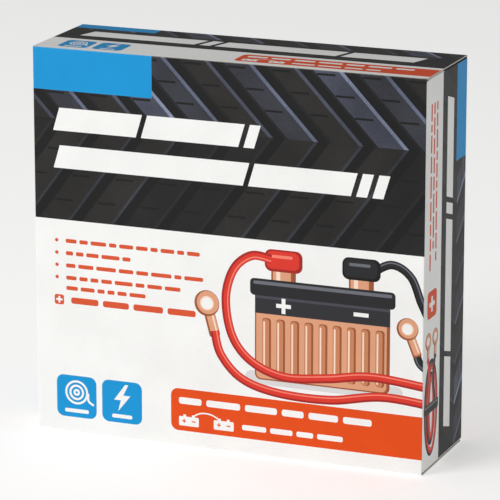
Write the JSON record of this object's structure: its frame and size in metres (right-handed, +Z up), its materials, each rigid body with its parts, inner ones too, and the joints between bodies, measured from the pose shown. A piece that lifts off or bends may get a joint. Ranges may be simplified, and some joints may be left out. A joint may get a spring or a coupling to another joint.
{
  "type": "printed folding carton",
  "caption": "Upright retail folding carton of thin printed board, with a hinged tuck-in lid, two dust flaps and a glued bottom.",
  "frame": {"origin": "centre of the underside, where the closed carton stands", "axes": "+Z up, +X to the right of someone who looks at the front panel, which faces -Y"},
  "size_m": [0.24, 0.07, 0.23],
  "materials": {
    "printed_board": "satin",
    "printed_lid": "satin",
    "plain_board": "matte"
  },
  "bodies": {
    "carton": {"carton_body": "printed_board"},
    "lid": {"lid": "printed_lid"},
    "flap_left": {"dust_flap_left": "plain_board"},
    "flap_right": {"dust_flap_right": "plain_board"}
  },
  "joints": [
    {"name": "lid_fold", "type": "hinge", "parent": "carton", "child": "lid", "pos_m": [0, 0.035, 0.23], "axis": [-1, 0, 0], "range_deg": [0, 150]},
    {"name": "flap_left_fold", "type": "hinge", "parent": "carton", "child": "flap_left", "pos_m": [-0.12, 0, 0.2291], "axis": [0, -1, 0], "range_deg": [0, 90]},
    {"name": "flap_right_fold", "type": "hinge", "parent": "carton", "child": "flap_right", "pos_m": [0.12, 0, 0.2291], "axis": [0, 1, 0], "range_deg": [0, 90]}
  ],
  "couplings": [
    {"joint": "flap_left_fold", "follows": "lid_fold", "ratio": 0.6},
    {"joint": "flap_right_fold", "follows": "lid_fold", "ratio": 0.6}
  ]
}
